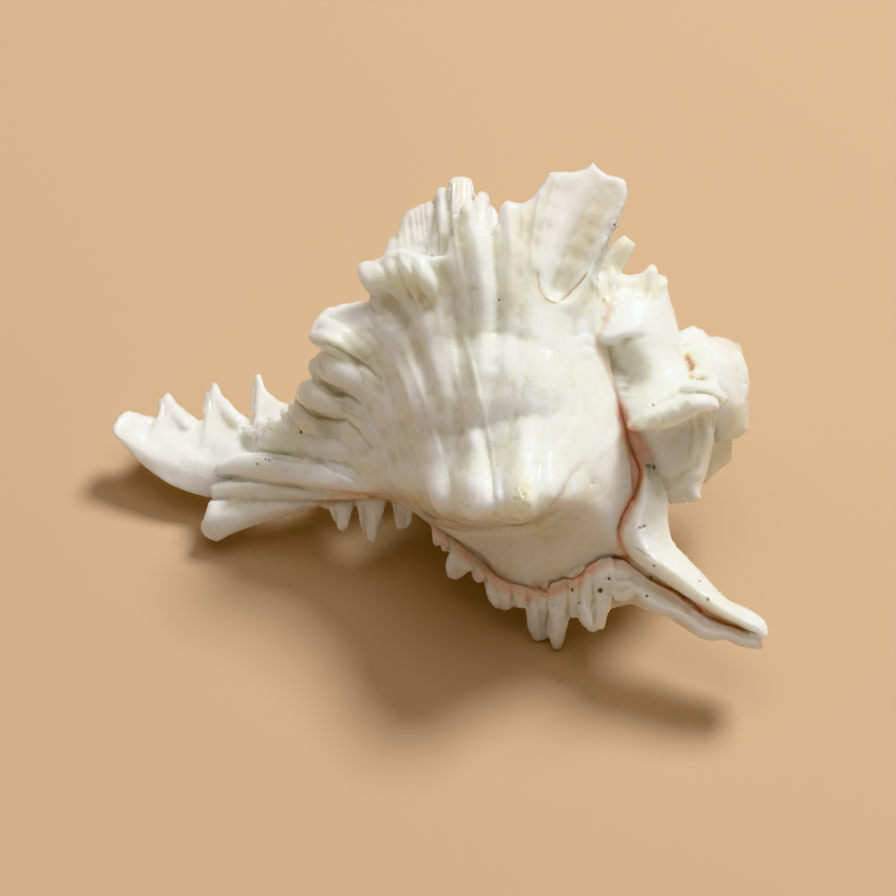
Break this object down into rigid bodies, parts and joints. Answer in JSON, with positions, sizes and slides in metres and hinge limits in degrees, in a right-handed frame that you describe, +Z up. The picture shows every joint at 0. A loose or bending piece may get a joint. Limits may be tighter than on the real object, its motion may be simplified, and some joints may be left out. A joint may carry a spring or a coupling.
{
  "type": "murex shell",
  "caption": "Bleached spiny sea snail shell with three rows of fluted fronds, a worn spire and an oval mouth, lying on the tips of its fronds.",
  "frame": {"origin": "middle of the shell's bounding box, at the height of the surface that it lies on", "axes": "+Z up, +X from the canal towards the spire, +Y towards the side of the mouth, away from the side that the picture shows"},
  "size_m": [0.163, 0.1058, 0.0947],
  "materials": {
    "bleached_shell": "satin"
  },
  "bodies": {
    "root": {"murex_shell": "bleached_shell"}
  },
  "joints": []
}
